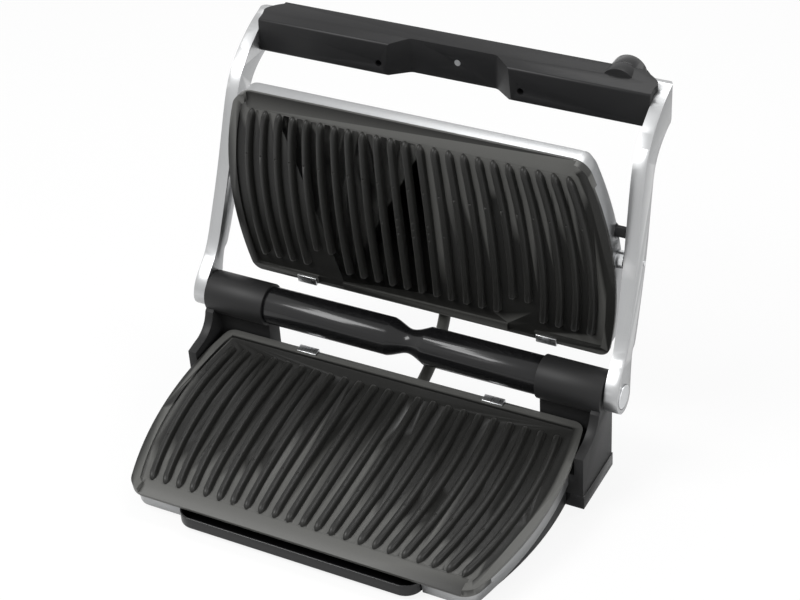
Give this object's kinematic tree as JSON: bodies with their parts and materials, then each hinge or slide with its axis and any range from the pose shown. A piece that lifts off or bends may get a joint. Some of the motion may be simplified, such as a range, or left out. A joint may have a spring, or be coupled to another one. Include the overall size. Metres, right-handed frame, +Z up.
{
  "type": "electric contact grill",
  "caption": "Countertop electric contact grill with curved ribbed plates, a floating lid on two side arms, a push-button handle and a drip tray, shown wide open.",
  "frame": {"origin": "on the table, under the middle of the grill with its lid open", "axes": "+X to the right as the user faces the grill, -Y towards the user, +Z up"},
  "size_m": [0.4724, 0.409, 0.3675],
  "materials": {
    "plate_coating": "dark speckled non-stick coating on cast metal",
    "silver_housing": "satin silver",
    "arm_metal": "satin cast metal",
    "gloss_black": "glossy black",
    "satin_black": "satin black",
    "pedestal_grey": "matt dark grey",
    "bright_steel": "bright satin steel",
    "reflector_sheet": "bright sheet",
    "element_steel": "dull grey tube",
    "panel_film": "glossy film",
    "button_grey": "satin grey",
    "ring_lens": "frosted light ring",
    "board_green": "green circuit board",
    "rubber_black": "soft black rubber",
    "conduit_grey": "flexible grey conduit",
    "bearing_plastic": "pale bearing plastic",
    "limiter_ceramic": "white ceramic"
  },
  "bodies": {
    "base": {"base_pan": "satin_black", "base_shell": "silver_housing", "conduit_lower": "conduit_grey", "cord_inlet": "rubber_black", "foot_left": "gloss_black", "foot_right": "gloss_black", "hinge_barrel": "gloss_black", "hinge_bush_left": "bearing_plastic", "hinge_bush_right": "bearing_plastic", "lower_boot": "rubber_black", "lower_heater": "element_steel", "lower_plate": "plate_coating", "lower_reflector": "reflector_sheet", "pedestal_left": "pedestal_grey", "pedestal_right": "pedestal_grey", "rubber_pads": "rubber_black", "thermal_limiter": "limiter_ceramic"},
    "lid_frame": {"arm_left": "arm_metal", "arm_right": "arm_metal", "arm_screws": "bright_steel", "pivot_caps": "bright_steel", "hinge_shaft": "bright_steel", "handle_grip": "satin_black", "handle_cover": "gloss_black", "control_panel": "panel_film", "indicator_ring": "ring_lens", "control_board": "board_green", "handle_screws": "bright_steel"},
    "pivot_carriage": {"pivot_sleeves": "bright_steel"},
    "upper_housing": {"upper_shell": "silver_housing", "upper_plate": "plate_coating", "upper_heater": "element_steel", "upper_reflector": "reflector_sheet", "stop_pins": "satin_black", "upper_boot": "rubber_black", "conduit_upper": "conduit_grey"},
    "drip_tray": {"drip_tray": "gloss_black"},
    "lower_latch_left": {"lower_latch_left": "bright_steel"},
    "lower_latch_right": {"lower_latch_right": "bright_steel"},
    "upper_latch_left": {"upper_latch_left": "bright_steel"},
    "upper_latch_right": {"upper_latch_right": "bright_steel"},
    "power_button": {"power_button": "button_grey"},
    "programme_button_1": {"programme_button_1": "button_grey"},
    "programme_button_2": {"programme_button_2": "button_grey"},
    "programme_button_3": {"programme_button_3": "button_grey"},
    "programme_button_4": {"programme_button_4": "button_grey"},
    "programme_button_5": {"programme_button_5": "button_grey"},
    "programme_button_6": {"programme_button_6": "button_grey"},
    "ok_button": {"ok_button": "button_grey"}
  },
  "joints": [
    {"name": "lid_hinge", "type": "hinge", "parent": "base", "child": "lid_frame", "pos_m": [0, 0.03594, 0.099], "axis": [1, 0, 0], "range_deg": [0, 127.1], "deforming": ["conduit_upper", "conduit_lower"]},
    {"name": "pivot_slide", "type": "slide", "parent": "lid_frame", "child": "pivot_carriage", "axis": [0, 0.4059, 0.9139], "range_m": [0, 0.013]},
    {"name": "housing_tilt", "type": "hinge", "parent": "pivot_carriage", "child": "upper_housing", "pos_m": [0, 0.08841, 0.21714], "axis": [1, 0, 0], "range_deg": [-34.3, 0]},
    {"name": "tray_slide", "type": "slide", "parent": "base", "child": "drip_tray", "axis": [0, -1, 0], "range_m": [0, 0.15]},
    {"name": "lower_latch_left_slide", "type": "slide", "parent": "base", "child": "lower_latch_left", "axis": [0, 0.9885, 0.1513], "range_m": [0, 0.003], "stiffness_N_per_m": 900},
    {"name": "lower_latch_right_slide", "type": "slide", "parent": "base", "child": "lower_latch_right", "axis": [0, 0.9885, 0.1513], "range_m": [0, 0.003], "stiffness_N_per_m": 900},
    {"name": "upper_latch_left_slide", "type": "slide", "parent": "upper_housing", "child": "upper_latch_left", "axis": [0, 0.1028, -0.9947], "range_m": [0, 0.003], "stiffness_N_per_m": 900},
    {"name": "upper_latch_right_slide", "type": "slide", "parent": "upper_housing", "child": "upper_latch_right", "axis": [0, 0.1028, -0.9947], "range_m": [0, 0.003], "stiffness_N_per_m": 900},
    {"name": "power_button_press", "type": "slide", "parent": "lid_frame", "child": "power_button", "axis": [0, -1, 0], "range_m": [0, 0.001], "stiffness_N_per_m": 600},
    {"name": "programme_button_1_press", "type": "slide", "parent": "lid_frame", "child": "programme_button_1", "axis": [0, -1, 0], "range_m": [0, 0.001], "stiffness_N_per_m": 600},
    {"name": "programme_button_2_press", "type": "slide", "parent": "lid_frame", "child": "programme_button_2", "axis": [0, -1, 0], "range_m": [0, 0.001], "stiffness_N_per_m": 600},
    {"name": "programme_button_3_press", "type": "slide", "parent": "lid_frame", "child": "programme_button_3", "axis": [0, -1, 0], "range_m": [0, 0.001], "stiffness_N_per_m": 600},
    {"name": "programme_button_4_press", "type": "slide", "parent": "lid_frame", "child": "programme_button_4", "axis": [0, -1, 0], "range_m": [0, 0.001], "stiffness_N_per_m": 600},
    {"name": "programme_button_5_press", "type": "slide", "parent": "lid_frame", "child": "programme_button_5", "axis": [0, -1, 0], "range_m": [0, 0.001], "stiffness_N_per_m": 600},
    {"name": "programme_button_6_press", "type": "slide", "parent": "lid_frame", "child": "programme_button_6", "axis": [0, -1, 0], "range_m": [0, 0.001], "stiffness_N_per_m": 600},
    {"name": "ok_button_press", "type": "slide", "parent": "lid_frame", "child": "ok_button", "axis": [0, -1, 0], "range_m": [0, 0.001], "stiffness_N_per_m": 600}
  ],
  "couplings": [
    {"joint": "housing_tilt", "follows": "lid_hinge", "ratio": -0.26986},
    {"joint": "pivot_slide", "follows": "lid_hinge", "m_per_rad": 0.00586}
  ]
}
